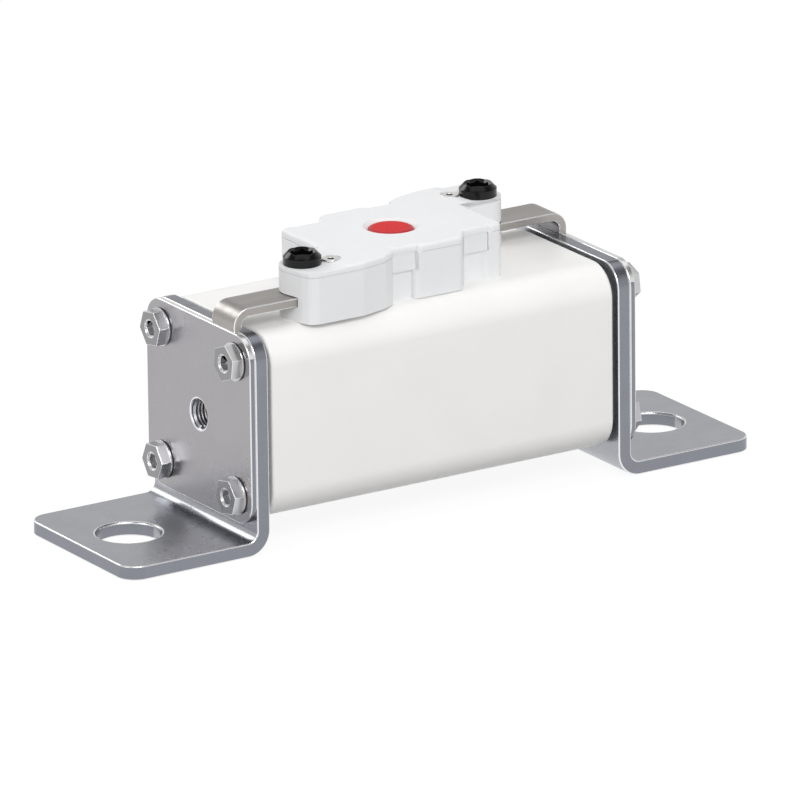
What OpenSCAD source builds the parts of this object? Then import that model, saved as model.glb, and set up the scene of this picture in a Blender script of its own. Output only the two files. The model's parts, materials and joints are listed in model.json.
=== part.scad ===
// Square-body direct-current cartridge fuse with bolted L-shaped terminals and a
// striker indicator on top. X runs along the fuse, Z is up, and the origin lies on
// the mounting surface, midway between the two feet.

/* [Ceramic body] */
// Side of the square ceramic body
body_side = 76.5; // [66:0.5:80]
// Length of the ceramic body
body_length = 160; // [150:1:200]
// Radius of the body's long edges
body_edge_r = 13; // [8:0.5:13]
// Diameter of the bore that holds the elements and the sand
body_bore_d = 56; // [48:0.5:56]
// Height of the fuse axis above the mounting surface
axis_height = 50; // [48:0.5:60]

/* [Terminals] */
// Side of the square upright plates
plate_side = 77.5; // [72:0.5:82]
// Thickness of the terminal plate
plate_t = 5.8; // [4:0.1:8]
// Length of each foot, from the upright's outer face to its end
foot_length = 59.4; // [50:0.1:80]
// Inner radius of the bend between upright and foot
bend_inner_r = 4.2; // [2:0.1:6]
// Radius of the foot's outer corners
foot_corner_r = 8; // [3:0.5:12]
// Radius of the upright's corners
plate_corner_r = 10.5; // [3:0.5:12]
// Diameter of the mounting hole in each foot
foot_hole_d = 26; // [18:0.5:30]
// Distance from the upright's outer face to the centre of the foot's hole
foot_hole_x = 35.6; // [28:0.1:40]
// Chamfer round each mounting hole
foot_hole_chamfer = 0.5; // [0.2:0.1:1]
// Thickness of the outer face plate
face_plate_t = 2.5; // [1.5:0.1:4]
// Tapping diameter of the connection thread in each upright
thread_core_d = 10.2; // [8:0.1:12]
// Distance of the connection thread below the fuse axis
thread_drop = 1.5; // [0:0.1:4]
// Chamfer at the mouth of the connection thread
thread_chamfer = 1.45; // [0.4:0.05:1.8]

/* [End screws] */
// Spacing of the end screws, across and up
screw_pitch = 55; // [52:0.5:56]
// Thread diameter of the end screws
screw_d = 8; // [6:0.5:8]
// Width across the flats of the screw heads
screw_head_af = 13.4; // [11:0.1:15]
// Height of the screw heads, with their flange
screw_head_h = 5.3; // [4:0.1:7]
// Diameter of the round flange under the screw heads
screw_flange_d = 15.4; // [13:0.1:16]
// Thickness of that flange
screw_flange_t = 0.7; // [0.3:0.1:1.2]
// Chamfer on the corners of the screw heads
screw_head_chamfer = 0.5; // [0.2:0.05:1]
// Depth of the screws in the ceramic
screw_grip = 24; // [12:1:30]
// Diameter of the round recess in the screw heads
screw_recess_d = 7.3; // [4:0.1:8]
// Width across the flats of the hexagon socket inside that recess
screw_socket_af = 5.6; // [3:0.1:6.2]

/* [Inside] */
// Thickness of the sealing gasket at each end
gasket_t = 2; // [0.5:0.1:3]
// Side of the sealing gasket
gasket_side = 70; // [66:0.5:72]
// Diameter of the round window in the gasket
gasket_window_d = 46; // [36:0.5:46]
// Thickness of the contact disc inside each end
contact_t = 3; // [2:0.1:5]
// Number of fuse elements
element_count = 5; // [3:1:5]
// Distance between the fuse elements
element_pitch = 8; // [6:0.5:8]
// Width of each fuse element
element_w = 36; // [24:1:36]
// Thickness of each fuse element
element_t = 0.4; // [0.2:0.05:0.6]
// Number of notch rows along each element
notch_rows = 9; // [5:2:11]
// Number of round notches in each row
notch_columns = 5; // [3:1:6]
// Diameter of each notch
notch_d = 5; // [3:0.5:5]

/* [Indicator housing] */
// Height of the housing above the ceramic body
housing_h = 22; // [20:0.1:26]
// Thickness of the cover at its top
cover_t = 2.8; // [2.4:0.1:3.6]
// Rounding of the cover's upper edge
cover_round = 1.4; // [0.6:0.1:1.8]
// Depth of the two screw seats below the cover's top
seat_drop = 1.3; // [0.4:0.1:1.6]
// Distance of the clamp screws from the centre, along the fuse
clamp_x = 53.3; // [50:0.1:54]
// Distance of the clamp screws from the centre, across the fuse
clamp_y = 19; // [17:0.1:20]
// Height of the lower edge of the snap tabs above the ceramic body
tab_bottom_h = 11.5; // [10:0.1:15]
// Thickness of the snap tabs
tab_t = 2; // [1.2:0.1:2.4]
// Clearance between the snap tabs and the base
tab_clear = 0.15; // [0.05:0.05:0.3]
// Width of the groove along the parting line
parting_groove = 0.35; // [0.1:0.05:0.6]

/* [Striker] */
// Diameter of the red striker head
striker_d = 18.3; // [14:0.1:19]
// Depth of the striker's top below the cover's top, at rest
striker_sink = 0.4; // [0:0.1:1]
// Travel of the striker when it is released
striker_travel = 6; // [3:0.5:6]
// Radial clearance of the striker in its hole
striker_clear = 0.1; // [0.05:0.01:0.1]
// Diameter of the countersink round the striker
striker_dish_d = 22.2; // [20:0.1:24]
// Diameter of the spring wire
spring_wire_d = 1; // [0.6:0.1:1.2]
// Mean diameter of the spring
spring_mean_d = 10.4; // [9:0.1:10.6]
// Diameter of the retaining wire
wire_d = 0.8; // [0.5:0.1:1.2]

/* [Straps and clamps] */
// Width of the straps
strap_w = 16.6; // [12:0.1:17]
// Thickness of the straps
strap_t = 3.5; // [2:0.1:4]
// Height of the straps' upper face above the ceramic body
strap_top_h = 9.8; // [8.6:0.1:10]
// How far the straps stand out over the outer face plates
strap_reach = 2.3; // [0:0.1:2.4]
// Outer radius of the bend in the straps
strap_bend_r = 7; // [5:0.1:8]
// Least length of the straight end of each strap, above the terminal
strap_leg_h = 1; // [0.5:0.1:3]
// Diameter of the clamp screw heads
clamp_head_d = 15.2; // [13:0.1:15.4]
// Height of the clamp screw heads
clamp_head_h = 5.2; // [3:0.1:6]
// Thread diameter of the clamp screws
clamp_d = 6; // [5:0.5:6]
// Width across the flats of the clamp screw socket
clamp_socket_af = 8.6; // [4:0.1:9]
// Outer diameter of the rivet heads
rivet_head_d = 7.2; // [5:0.1:7.4]
// Diameter of the rivet shanks
rivet_d = 4.4; // [3:0.1:4.6]
// Diameter of the hole through each rivet
rivet_bore_d = 2.8; // [1.5:0.1:3]

/* [Hidden] */

$fn = 64;
eps = 0.01;
fit = 0.05;
hole_clear = 0.5;

ceramic_white = [0.93, 0.92, 0.90];
moulding_white = [0.90, 0.90, 0.91];
plated_steel = [0.66, 0.66, 0.68];
strap_metal = [0.62, 0.60, 0.58];
zinc = [0.75, 0.75, 0.76];
black = [0.05, 0.05, 0.06];
indicator_red = [0.80, 0.13, 0.16];
silver = [0.85, 0.85, 0.86];
copper = [0.72, 0.45, 0.30];
fibre = [0.25, 0.25, 0.26];
sand = [0.80, 0.75, 0.62];

// Places along the fuse, measured from its middle
body_end = body_length / 2;
upright_in = body_end + gasket_t;
upright_out = upright_in + plate_t;
face_out = upright_out + face_plate_t;
foot_end = upright_out + foot_length;
plate_top = axis_height + plate_side / 2;
body_top = axis_height + body_side / 2;
thread_z = axis_height - thread_drop;
bend_outer_r = bend_inner_r + plate_t;
screw_hole_d = screw_d + hole_clear;

// Inside the body
contact_d = body_bore_d - 2 * fit;
contact_in = body_end - contact_t;
boss_d = gasket_window_d - 2 * fit;
filler_length = 2 * contact_in;
element_length = 2 * contact_in;
notch_pitch_x = element_length / (notch_rows + 1);
notch_pitch_y = element_w / notch_columns;
slot_clear = 0.1;

// Heights in the indicator housing
housing_top = body_top + housing_h;
parting_z = housing_top - cover_t;
seat_z = housing_top - seat_drop;
strap_top = max(body_top + strap_top_h, plate_top + strap_bend_r + strap_leg_h);
strap_bottom = strap_top - strap_t;
tab_bottom = body_top + tab_bottom_h;
pocket_clear = 0.3;
head_clear = 0.3;
pocket_mouth_x = clamp_x + 12;

// Outline of the indicator housing: one half, which a half turn completes
block_end_x = 60.4;
block_y = 34.8;
block_corner_r = 5;
block_facet_x = 34.6;
shoulder = [22.7, 31.8];
shoulder_foot = [17.2, 28.6];
centre_block = [-5, 15.3, 28.3];
diagonal_x = 20.3;
corner_y = 21.6;
corner_x = 38.6;
plan_round = 2.6;
boss_r = 9.3;
edge_flares = 3;
ramp_start_x = 47.6;
ramp_end_x = 41;

// Snap tabs: first and last x, and the distance of the cover's edge there from the middle
tabs = [[-16.6, -5, 26.1], [21, 32, 20.9]];
tab_setback = 0.25;
// Lower recesses below them: first and last x, and the distance of the panel's face
panels = [[-16.6, -6.8, 25.1], [diagonal_x, 29.4, 20]];

// The clamps
nut_af = 10;
nut_h = 4.6;
clamp_shank_l = seat_z - strap_bottom + nut_h;
strap_inner_x = clamp_x - 7;
strap_out = upright_out + strap_reach;
strap_hole_d = clamp_d + 0.6;
rivet_x = 42.4;
rivet_y = 22.8;
rivet_head_t = 0.8;
rivet_top = housing_top - 0.1;
rivet_foot_t = 0.8;
rivet_recess_d = rivet_head_d + 0.8;
rivet_foot_z = body_top + 1.6;

// The striker
striker_top = housing_top - striker_sink;
striker_hole_d = striker_d + 2 * striker_clear;
striker_flange_d = striker_d + 3;
striker_flange_t = 1.2;
striker_flange_z = parting_z - striker_travel - striker_flange_t - 0.3;
striker_well_d = striker_flange_d + 1.2;
striker_wall = 2;
striker_cup_d = striker_d - 2 * striker_wall;
striker_cap_t = 3;
striker_chamfer = 0.8;
stem_d = 5;
well_floor = body_top + 5;
wire_z = body_top + 2;
stem_bottom = wire_z - 1.2;
stem_slot_w = wire_d + 0.6;
spring_bottom = well_floor;
spring_top = striker_top - striker_cap_t;
spring_turns = 5;
wire_angle = atan2(clamp_y, clamp_x);
wire_length = 2 * (norm([clamp_x, clamp_y]) - nut_af / 2);

// Draws its children at the left end, and again turned half round for the right end
module end(side) {
    rotate([0, 0, side == "left" ? 0 : 180])
        children();
}

// Rounded square, in the plane of the page
module rounded_square(side, r) {
    square([side - 2 * r, side], center = true);
    square([side, side - 2 * r], center = true);
    for (x = [-1, 1], y = [-1, 1])
        translate([x * (side / 2 - r), y * (side / 2 - r)])
            circle(r = r);
}

// Stands an outline of the YZ plane upright, from x0 towards +X
module along_x(x0, length) {
    translate([x0, 0, 0])
        rotate([90, 0, 90])
            linear_extrude(height = length)
                children();
}

// Repeats its children at the four screw places, in the YZ plane
module at_screws() {
    for (y = [-1, 1], z = [-1, 1])
        translate([y * screw_pitch / 2, axis_height + z * screw_pitch / 2])
            children();
}

// Material outside a rounded corner of radius r that points along +X +Y
module corner_cut(r, height) {
    difference() {
        translate([0, 0, -eps])
            cube([r + 1, r + 1, height + 2 * eps]);
        translate([0, 0, -1])
            cylinder(r = r, h = height + 2);
    }
}

module ceramic_body() {
    color(ceramic_white)
        difference() {
            along_x(-body_end, body_length)
                translate([0, axis_height])
                    rounded_square(body_side, body_edge_r);
            along_x(-body_end - 1, body_length + 2)
                translate([0, axis_height])
                    circle(d = body_bore_d);
            for (x0 = [-body_end - 1, body_end - screw_grip - 1])
                along_x(x0, screw_grip + 2)
                    at_screws()
                        circle(d = screw_d + 2 * fit);
        }
}

// One strip with rows of round notches that narrow it to small bridges
module element_strip() {
    linear_extrude(height = element_t)
        difference() {
            square([element_length, element_w], center = true);
            for (i = [1:notch_rows], j = [0:notch_columns])
                translate([-element_length / 2 + i * notch_pitch_x, (j - notch_columns / 2) * notch_pitch_y])
                    circle(d = notch_d, $fn = 24);
        }
}

module fuse_elements() {
    color(silver)
        for (i = [0:element_count - 1])
            translate([0, 0, axis_height + (i - (element_count - 1) / 2) * element_pitch - element_t / 2])
                element_strip();
}

module quartz_filler() {
    color(sand)
        difference() {
            along_x(-contact_in, filler_length)
                translate([0, axis_height])
                    circle(d = body_bore_d - 2 * fit);
            for (i = [0:element_count - 1])
                translate([0, 0, axis_height + (i - (element_count - 1) / 2) * element_pitch])
                    cube([
                        filler_length + 2, element_w + 2 * slot_clear, element_t + 2 * slot_clear
                    ], center = true);
        }
}

module contact_disc(side) {
    color(copper)
        end(side) {
            along_x(-body_end, contact_t)
                translate([0, axis_height])
                    circle(d = contact_d);
            along_x(-upright_in, gasket_t + eps)
                translate([0, axis_height])
                    circle(d = boss_d);
        }
}

module gasket(side) {
    color(fibre)
        end(side)
            along_x(-upright_in, gasket_t)
                difference() {
                    translate([0, axis_height])
                        rounded_square(gasket_side, body_edge_r - 2);
                    translate([0, axis_height])
                        circle(d = gasket_window_d);
                    at_screws()
                        circle(d = screw_hole_d);
                }
}

// Side view of the terminal: an upright, a bend and a foot
module terminal_profile() {
    difference() {
        union() {
            translate([-foot_end, 0])
                square([foot_end - upright_in - bend_outer_r, plate_t]);
            translate([-upright_out, bend_outer_r])
                square([plate_t, plate_top - bend_outer_r]);
            translate([-upright_in - bend_outer_r, bend_outer_r])
                intersection() {
                    circle(r = bend_outer_r);
                    translate([0, -bend_outer_r])
                        square(bend_outer_r);
                }
        }
        translate([-upright_in - bend_outer_r, bend_outer_r])
            circle(r = bend_inner_r);
    }
}

module terminal(side) {
    color(plated_steel)
        end(side)
            difference() {
                rotate([90, 0, 0])
                    translate([0, 0, -plate_side / 2])
                        linear_extrude(height = plate_side)
                            terminal_profile();
                // Rounded corners of the foot
                for (y = [-1, 1])
                    translate([-foot_end + foot_corner_r, y * (plate_side / 2 - foot_corner_r), 0])
                        rotate([0, 0, y > 0 ? 90 : 180])
                            corner_cut(foot_corner_r, plate_t);
                // Rounded corners at the top of the upright
                for (y = [-1, 1])
                    translate([
                        -upright_out, y * (plate_side / 2 - plate_corner_r), plate_top - plate_corner_r
                    ])
                        rotate([0, 90, 0])
                            rotate([0, 0, y > 0 ? 90 : 180])
                                corner_cut(plate_corner_r, plate_t);
                // Mounting hole
                translate([-upright_out - foot_hole_x, 0, -1])
                    cylinder(d = foot_hole_d, h = plate_t + 2);
                translate([-upright_out - foot_hole_x, 0, plate_t - foot_hole_chamfer])
                    cylinder(
                        d1 = foot_hole_d, d2 = foot_hole_d + 4 * foot_hole_chamfer,
                        h = 2 * foot_hole_chamfer
                    );
                // Connection thread, which goes on through the face plate
                along_x(-upright_out - 1, plate_t + 2)
                    translate([0, thread_z])
                        circle(d = thread_core_d);
                along_x(-upright_out - 1, plate_t + 2)
                    at_screws()
                        circle(d = screw_hole_d);
            }
}

module face_plate(side) {
    color(plated_steel)
        end(side)
            difference() {
                along_x(-face_out, face_plate_t)
                    difference() {
                        translate([0, axis_height])
                            rounded_square(plate_side, plate_corner_r);
                        at_screws()
                            circle(d = screw_hole_d);
                        translate([0, thread_z])
                            circle(d = thread_core_d);
                    }
                translate([-face_out - thread_chamfer, 0, thread_z])
                    rotate([0, 90, 0])
                        cylinder(
                            d1 = thread_core_d + 4 * thread_chamfer, d2 = thread_core_d,
                            h = 2 * thread_chamfer
                        );
            }
}

// End screw that points along +X, with the underside of its head at the origin
module end_screw() {
    flange_gap = 0.3;
    mouth_depth = 0.5;
    socket_depth = screw_head_h * 0.6;
    hex_h = screw_head_h - flange_gap;
    corner_d = screw_head_af / cos(30);
    face_d = corner_d - 2 * screw_head_chamfer;
    rotate([0, 90, 0])
        cylinder(d = screw_d, h = face_plate_t + plate_t + gasket_t + screw_grip);
    rotate([0, -90, 0])
        difference() {
            union() {
                cylinder(d = screw_flange_d - 4 * flange_gap, h = flange_gap + eps);
                translate([0, 0, flange_gap])
                    cylinder(d = screw_flange_d, h = screw_flange_t);
                translate([0, 0, flange_gap])
                    intersection() {
                        cylinder(d = corner_d, h = hex_h, $fn = 6);
                        // Cone that cuts the corners at 30 degrees to the end face
                        cylinder(d1 = face_d + 2 * hex_h / tan(30), d2 = face_d, h = hex_h);
                    }
            }
            translate([0, 0, screw_head_h - mouth_depth])
                cylinder(d = screw_recess_d, h = mouth_depth + 1);
            translate([0, 0, screw_head_h - socket_depth])
                cylinder(d = screw_socket_af / cos(30), h = socket_depth, $fn = 6);
        }
}

module end_screws(side) {
    turns = [11, 5, 21, 9];
    color(zinc)
        end(side)
            for (i = [0:3])
                translate([
                    -face_out,
                    (i % 2 == 0 ? -1 : 1) * screw_pitch / 2,
                    axis_height + (i < 2 ? -1 : 1) * screw_pitch / 2
                ])
                    rotate([turns[i], 0, 0])
                        end_screw();
}

// Side view of a strap that leaves the housing, bends down and stands on the upright
module strap_profile() {
    bend_x = -strap_out + strap_bend_r;
    bend_z = strap_top - strap_bend_r;
    translate([bend_x, strap_bottom])
        square([-strap_inner_x - bend_x, strap_t]);
    translate([-strap_out, plate_top])
        square([strap_t, bend_z - plate_top + eps]);
    translate([bend_x, bend_z])
        difference() {
            intersection() {
                circle(r = strap_bend_r);
                translate([-strap_bend_r, 0])
                    square(strap_bend_r);
            }
            circle(r = strap_bend_r - strap_t);
        }
}

module strap(side) {
    color(strap_metal)
        end(side)
            difference() {
                translate([0, -clamp_y + strap_w / 2, 0])
                    rotate([90, 0, 0])
                        linear_extrude(height = strap_w)
                            strap_profile();
                translate([-clamp_x, -clamp_y, strap_bottom - 1])
                    cylinder(d = strap_hole_d, h = strap_t + 2);
            }
}

// Half of the housing's outline; the other half is the same, turned half round
function half_outline(recesses) = [
    for (a = [90:15:195]) [-clamp_x + boss_r * cos(a), -clamp_y + boss_r * sin(a)],
    [-block_end_x, -block_y + block_corner_r],
    [-block_end_x + block_corner_r * 0.3, -block_y + block_corner_r * 0.3],
    [-block_end_x + block_corner_r, -block_y], [-block_facet_x, -block_y],
    [-shoulder[0], -shoulder[1]], [-shoulder_foot[0], -shoulder_foot[1]],
    [recesses[0][0], -recesses[0][2]], [recesses[0][1], -recesses[0][2]],
    [recesses[0][1], -centre_block[2]], [centre_block[1], -centre_block[2]],
    [diagonal_x, -corner_y], [recesses[1][0], -recesses[1][2]],
    [recesses[1][1], -recesses[1][2]], [recesses[1][1], -corner_y],
    [corner_x, -corner_y], [corner_x, clamp_y - boss_r]
];

function turned(points) = [for (p = points) [-p[0], -p[1]]];

module housing_outline(recesses, inset = 0) {
    offset(r = plan_round - inset, $fn = 24)
        offset(delta = -plan_round)
            polygon(concat(half_outline(recesses), turned(half_outline(recesses))));
}

module snap_tabs(clear = 0) {
    for (turn = [0, 180])
        rotate(turn)
            for (t = tabs)
                translate([t[0] - clear, -t[2] + tab_setback - (clear > 0 ? 3 : 0)])
                    square([t[1] - t[0] + 2 * clear, tab_t + clear + (clear > 0 ? 3 : 0)]);
}

// Scale of the outline that moves its walls in by the given distance
function edge_scale(inset) = [1 - inset / block_end_x, 1 - inset / block_y];

// One flare of the rounded upper edge, tangent to it over its own share of the quarter turn
module edge_flare(i) {
    from = 90 * i / edge_flares;
    to = 90 * (i + 1) / edge_flares;
    slope = (cos(from) - cos(to)) / (sin(to) - sin(from));
    start_z = cover_t - cover_round + cover_round * sin(from);
    start_inset = cover_round * (1 - cos(from));
    below = edge_scale(start_inset - slope * (start_z + 0.5));
    above = edge_scale(start_inset + slope * (cover_t + 0.5 - start_z));
    translate([0, 0, -0.5])
        linear_extrude(
            height = cover_t + 1, scale = [above[0] / below[0], above[1] / below[1]], slices = 1
        )
            scale(below)
                children();
}

// Cover slab with a rounded upper edge
module rounded_slab() {
    intersection() {
        linear_extrude(height = cover_t)
            children();
        intersection_for(i = [0:edge_flares - 1])
            edge_flare(i)
                children();
    }
}

// Column of the given diameter at both clamp places, or at both rivet places
module at_both(x, y) {
    for (turn = [0, 180])
        rotate(turn)
            translate([-x, -y, 0])
                children();
}

module indicator_cover() {
    color(moulding_white)
        difference() {
            union() {
                translate([0, 0, parting_z])
                    rounded_slab()
                        housing_outline(tabs);
                translate([0, 0, tab_bottom])
                    linear_extrude(height = parting_z - tab_bottom + 0.5)
                        snap_tabs();
            }
            // Striker hole and the dish round it
            translate([0, 0, parting_z - 1])
                cylinder(d = striker_hole_d, h = cover_t + 2);
            translate([0, 0, housing_top - (striker_dish_d - striker_hole_d) / 2])
                cylinder(
                    d1 = striker_hole_d, d2 = striker_dish_d + 2,
                    h = (striker_dish_d + 2 - striker_hole_d) / 2
                );
            // Lower tops of the two bosses, each reached by a short ramp
            for (turn = [0, 180])
                rotate([90, 0, turn])
                    linear_extrude(height = 3 * block_y, center = true)
                        polygon([
                            [-ramp_end_x, housing_top], [-ramp_end_x, housing_top + 1],
                            [-2 * clamp_x, housing_top + 1], [-2 * clamp_x, seat_z],
                            [-ramp_start_x, seat_z]
                        ]);
            // Clamp screw and rivet holes, and the flat seats round them
            at_both(clamp_x, clamp_y) {
                translate([0, 0, parting_z - 1])
                    cylinder(d = clamp_d + 0.4, h = cover_t + 2);
                translate([0, 0, seat_z])
                    cylinder(d = clamp_head_d + 2 * head_clear, h = cover_t);
            }
            at_both(rivet_x, rivet_y) {
                translate([0, 0, parting_z - 1])
                    cylinder(d = rivet_d + 0.1, h = cover_t + 2);
                translate([0, 0, rivet_top - rivet_head_t])
                    cylinder(d = rivet_recess_d, h = cover_t);
            }
        }
}

module indicator_base() {
    pocket_w = strap_w + 2 * pocket_clear;
    color(moulding_white)
        difference() {
            translate([0, 0, body_top])
                linear_extrude(height = parting_z - body_top)
                    housing_outline(panels);
            // Pockets for the snap tabs, and a groove along the parting line
            translate([0, 0, tab_bottom - tab_clear])
                linear_extrude(height = housing_h)
                    snap_tabs(tab_clear);
            translate([0, 0, parting_z - parting_groove])
                linear_extrude(height = 2 * parting_groove)
                    difference() {
                        square([3 * block_end_x, 3 * block_y], center = true);
                        housing_outline(panels, parting_groove);
                    }
            // Well for the striker and its spring
            translate([0, 0, well_floor])
                cylinder(d = striker_well_d, h = housing_h);
            translate([0, 0, body_top - 1])
                cylinder(d = stem_d + 0.4, h = housing_h);
            // Channel for the retaining wire, open towards the ceramic body
            rotate([0, 0, wire_angle])
                translate([-wire_length / 2 - 1, -wire_d / 2 - 0.5, body_top - 1])
                    cube([wire_length + 2, wire_d + 1, wire_z - body_top + 1 + wire_d]);
            for (turn = [0, 180])
                rotate([0, 0, turn]) {
                    // Pocket for the strap, open at the end of the block
                    translate([-pocket_mouth_x, -clamp_y - pocket_w / 2, strap_bottom - pocket_clear])
                        cube([
                            pocket_mouth_x - strap_inner_x + pocket_clear, pocket_w, strap_t + 2 * pocket_clear
                        ]);
                    // Seat of the clamp nut, entered from below
                    translate([-clamp_x, -clamp_y, body_top - 1])
                        rotate([0, 0, wire_angle + 30])
                            cylinder(
                                d = (nut_af + 0.2) / cos(30), h = strap_bottom - body_top + 1, $fn = 6
                            );
                    // Hole for the clamp screw
                    translate([-clamp_x, -clamp_y, strap_top])
                        cylinder(d = clamp_d + 0.4, h = housing_h);
                    // Hole and lower recess for the rivet
                    translate([-rivet_x, -rivet_y, body_top - 1])
                        cylinder(d = rivet_d + 0.1, h = housing_h);
                    translate([-rivet_x, -rivet_y, body_top - 1])
                        cylinder(d = rivet_recess_d, h = rivet_foot_z - body_top + 1);
                }
        }
}

// Socket head with a chamfered rim, on a plain shank
module clamp_screw(side) {
    socket_depth = clamp_head_h * 0.6;
    rim = 2;
    color(black)
        end(side)
            translate([-clamp_x, -clamp_y, seat_z]) {
                difference() {
                    union() {
                        cylinder(d = clamp_head_d, h = clamp_head_h - rim);
                        translate([0, 0, clamp_head_h - rim])
                            cylinder(d1 = clamp_head_d, d2 = clamp_head_d - 2 * rim, h = rim);
                    }
                    translate([0, 0, clamp_head_h - socket_depth])
                        cylinder(d = clamp_socket_af / cos(30), h = socket_depth + 1, $fn = 6);
                }
                translate([0, 0, -clamp_shank_l])
                    cylinder(d = clamp_d, h = clamp_shank_l + eps);
            }
}

module clamp_nut(side) {
    color(zinc)
        end(side)
            translate([-clamp_x, -clamp_y, strap_bottom - nut_h])
                difference() {
                    rotate([0, 0, wire_angle + 30])
                        cylinder(d = nut_af / cos(30), h = nut_h, $fn = 6);
                    translate([0, 0, -1])
                        cylinder(d = clamp_d + 2 * fit, h = nut_h + 2);
                }
}

module rivet(side) {
    color(zinc)
        end(side)
            translate([-rivet_x, -rivet_y, 0])
                difference() {
                    union() {
                        translate([0, 0, rivet_top - rivet_head_t])
                            cylinder(d = rivet_head_d, h = rivet_head_t);
                        translate([0, 0, rivet_foot_z - rivet_foot_t])
                            cylinder(d = rivet_head_d, h = rivet_foot_t);
                        translate([0, 0, rivet_foot_z - eps])
                            cylinder(d = rivet_d, h = rivet_top - rivet_head_t - rivet_foot_z + 2 * eps);
                    }
                    translate([0, 0, body_top])
                        cylinder(d = rivet_bore_d, h = housing_h);
                }
}

// Hollow head with a stop flange, and a stem whose foot straddles the wire
module striker() {
    color(indicator_red)
        difference() {
            union() {
                translate([0, 0, striker_flange_z])
                    cylinder(d = striker_d, h = striker_top - striker_chamfer - striker_flange_z);
                translate([0, 0, striker_top - striker_chamfer])
                    cylinder(d1 = striker_d, d2 = striker_d - 2 * striker_chamfer, h = striker_chamfer);
                translate([0, 0, striker_flange_z])
                    cylinder(d = striker_flange_d, h = striker_flange_t);
                translate([0, 0, stem_bottom])
                    cylinder(d = stem_d, h = striker_flange_z - stem_bottom + eps);
            }
            difference() {
                translate([0, 0, striker_flange_z - 1])
                    cylinder(d = striker_cup_d, h = spring_top - striker_flange_z + 1);
                translate([0, 0, striker_flange_z - 2])
                    cylinder(d = stem_d, h = housing_h);
            }
            rotate([0, 0, wire_angle])
                translate([-stem_d, -stem_slot_w / 2, stem_bottom - 1])
                    cube([2 * stem_d, stem_slot_w, 1 + 1.2 + wire_d]);
        }
}

// Points of a circle of radius r round the coil's wire at angle a
function coil_ring(a, z, sides) = [
    for (k = [0:sides - 1])
        let (b = 360 * k / sides, d = spring_mean_d / 2 + spring_wire_d / 2 * cos(b))
            [d * cos(a), d * sin(a), z + spring_wire_d / 2 * sin(b)]
];

// Helical spring as one swept tube with flat ends
module striker_spring() {
    sides = 8;
    steps_per_turn = 20;
    steps = spring_turns * steps_per_turn;
    z0 = spring_bottom + spring_wire_d / 2;
    rise = spring_top - spring_bottom - spring_wire_d;
    rings = [for (i = [0:steps]) coil_ring(360 * i / steps_per_turn, z0 + rise * i / steps, sides)];
    color(zinc)
        polyhedron(
            points = [for (r = rings) each r],
            faces = concat(
                [[for (k = [0:sides - 1]) k]],
                [[for (k = [sides - 1:-1:0]) steps * sides + k]],
                [for (i = [0:steps - 1], k = [0:sides - 1]) [
                    i * sides + k,
                    (i + 1) * sides + k,
                    (i + 1) * sides + (k + 1) % sides,
                    i * sides + (k + 1) % sides
                ]]
            )
        );
}

module retaining_wire() {
    color(silver)
        rotate([0, 0, wire_angle])
            translate([-wire_length / 2, 0, wire_z])
                rotate([0, 90, 0])
                    cylinder(d = wire_d, h = wire_length, $fn = 24);
}

ceramic_body();
quartz_filler();
fuse_elements();
contact_disc("left");  // left_contact_disc
contact_disc("right");  // right_contact_disc
gasket("left");  // left_gasket
gasket("right");  // right_gasket
terminal("left");  // left_terminal
terminal("right");  // right_terminal
face_plate("left");  // left_face_plate
face_plate("right");  // right_face_plate
end_screws("left");  // left_end_screws
end_screws("right");  // right_end_screws
strap("left");  // left_strap
strap("right");  // right_strap
indicator_base();
indicator_cover();
clamp_screw("left");  // left_clamp_screw
clamp_screw("right");  // right_clamp_screw
clamp_nut("left");  // left_clamp_nut
clamp_nut("right");  // right_clamp_nut
rivet("left");  // left_rivet
rivet("right");  // right_rivet
striker();
striker_spring();
retaining_wire();
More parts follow.
